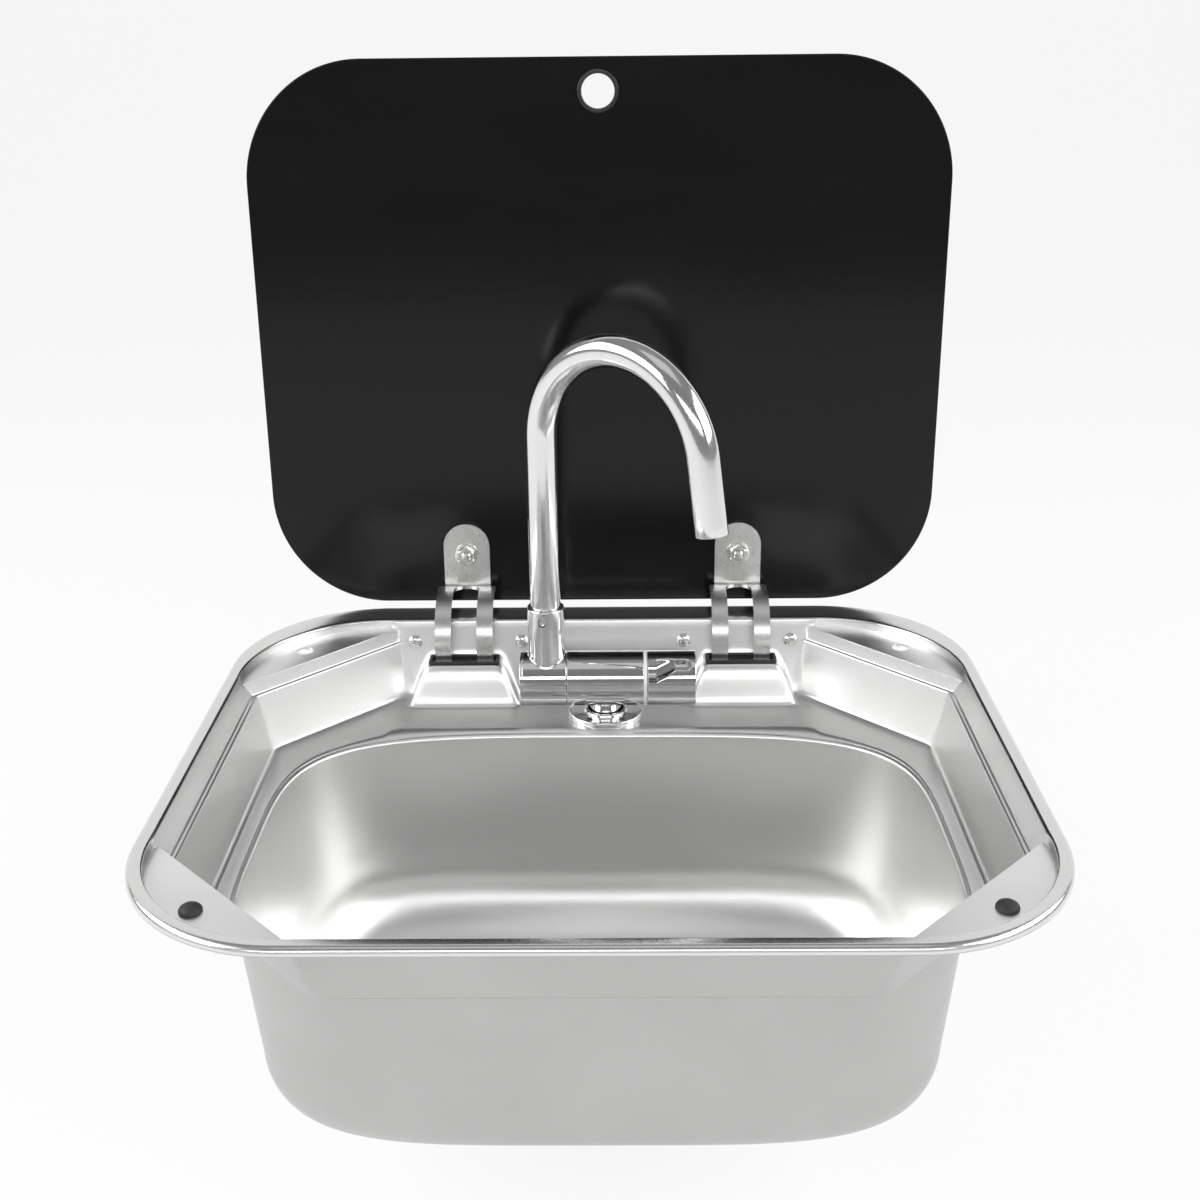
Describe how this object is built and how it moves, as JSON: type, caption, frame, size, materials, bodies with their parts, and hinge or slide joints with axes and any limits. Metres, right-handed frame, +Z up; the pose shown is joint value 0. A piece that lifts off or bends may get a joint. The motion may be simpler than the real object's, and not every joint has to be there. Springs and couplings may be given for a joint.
{
  "type": "camper sink",
  "caption": "Drop-in camper sink with a steel tray and deep bowl, a hinged black glass lid with a finger hole, and a gooseneck tap that folds down under the lid.",
  "frame": {"origin": "middle of the rim in plan, at the height of the rim's flat top, where the sink sits in the worktop's cut-out", "axes": "+X to the right seen from the front, +Y to the back where the lid's hinges are, +Z up"},
  "size_m": [0.42, 0.3835, 0.5293],
  "materials": {
    "tray_steel": "fine satin grain",
    "bowl_steel": "deep-drawn satin",
    "lid_glass": "polished, coloured through",
    "black_rubber": "matt",
    "black_plastic": "semi-gloss moulded",
    "arm_steel": "satin, bent strip",
    "bright_steel": "bright plated",
    "tap_chrome": "mirror plated",
    "tap_brass": "turned",
    "white_plastic": "moulded"
  },
  "bodies": {
    "root": {"rim_tray": "tray_steel", "bowl": "bowl_steel", "rim_seal": "black_rubber", "plate_front_left": "tray_steel", "plate_front_right": "tray_steel", "plate_rear_left": "tray_steel", "plate_rear_right": "tray_steel", "lid_bumpers": "black_rubber", "slot_liner_left": "black_plastic", "slot_liner_right": "black_plastic", "bracket_left": "arm_steel", "bracket_right": "arm_steel", "bracket_screws": "bright_steel", "bracket_nuts": "bright_steel", "hinge_pins": "arm_steel", "pin_clips": "arm_steel", "tap_flange": "tap_chrome", "base_gasket": "black_rubber", "tap_body": "tap_chrome", "clamp_washer": "arm_steel", "clamp_nut": "tap_brass", "inlet_tail": "tap_brass", "fold_spindle": "tap_brass", "fold_rings": "black_rubber", "valve_cartridge": "white_plastic", "white_ring": "white_plastic", "strainer": "bright_steel", "upper_seal": "black_rubber", "lower_seal": "black_rubber", "waste_body": "black_plastic", "waste_bridge": "bright_steel", "waste_screw": "bright_steel"},
    "lid": {"glass_lid": "lid_glass", "finger_ring": "black_plastic", "hinge_arm_left": "arm_steel", "hinge_arm_right": "arm_steel", "lid_bolts": "bright_steel", "outer_washers": "black_rubber", "glass_washers": "black_rubber", "nut_washers": "bright_steel", "bolt_nuts": "bright_steel"},
    "spout_arm": {"fold_sleeve": "tap_chrome", "sleeve_cap": "tap_chrome", "spout_collar": "tap_chrome", "grub_screw": "bright_steel"},
    "spout": {"spout_tube": "tap_chrome", "spout_tail": "tap_brass", "tail_rings": "black_rubber", "outlet_insert": "bright_steel"},
    "knob": {"knob": "tap_chrome", "valve_spindle": "tap_brass", "knob_screw": "bright_steel", "knob_cap": "tap_chrome"}
  },
  "joints": [
    {"name": "lid_hinge", "type": "hinge", "parent": "root", "child": "lid", "pos_m": [0, 0.167, -0.0145], "axis": [1, 0, 0], "range_deg": [0, 93.9]},
    {"name": "spout_fold", "type": "hinge", "parent": "root", "child": "spout_arm", "pos_m": [-0.033, 0.113, -0.0198], "axis": [1, 0, 0], "range_deg": [0, 90]},
    {"name": "spout_swivel", "type": "hinge", "parent": "spout_arm", "child": "spout", "pos_m": [-0.032, 0.113, 0], "axis": [0, 0, 1], "range_deg": [-140, 39]},
    {"name": "knob_turn", "type": "hinge", "parent": "root", "child": "knob", "pos_m": [0.04, 0.113, -0.0198], "axis": [1, 0, 0], "range_deg": [0, 90]}
  ],
  "couplings": [
    {"joint": "spout_fold", "follows": "lid_hinge", "ratio": 0.9584}
  ]
}
